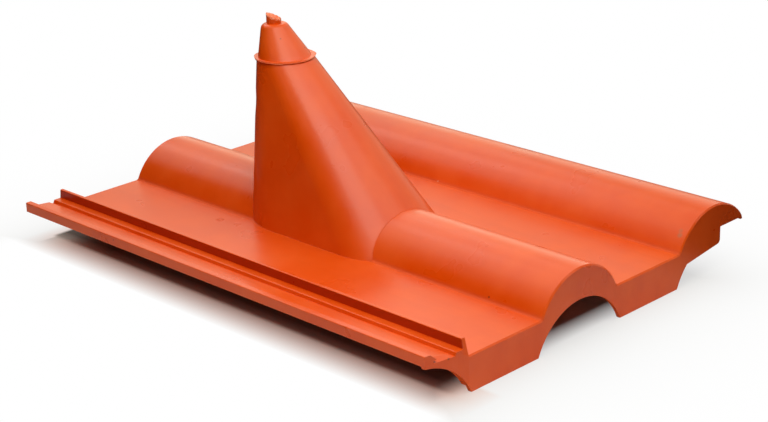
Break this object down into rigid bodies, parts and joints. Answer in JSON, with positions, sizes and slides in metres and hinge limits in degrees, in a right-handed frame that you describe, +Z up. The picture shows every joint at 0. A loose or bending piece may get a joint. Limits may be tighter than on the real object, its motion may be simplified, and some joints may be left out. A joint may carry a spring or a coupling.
{
  "type": "roof tile",
  "caption": "Moulded plastic interlocking roof tile with rolls, a side lock and a hollow slanted cone with a closed tip, to lead a mast or cable out through a tiled roof.",
  "frame": {"origin": "middle of the tile's plan, on the floor it stands on", "axes": "+X across the tile from the side lock to the free edge of the cover roll, +Y up the roof from the nose to the head, +Z up"},
  "size_m": [0.33, 0.42, 0.1745],
  "materials": {
    "terracotta_plastic": "satin as moulded, terracotta orange through and through"
  },
  "bodies": {
    "root": {"roof_tile": "terracotta_plastic"}
  },
  "joints": []
}
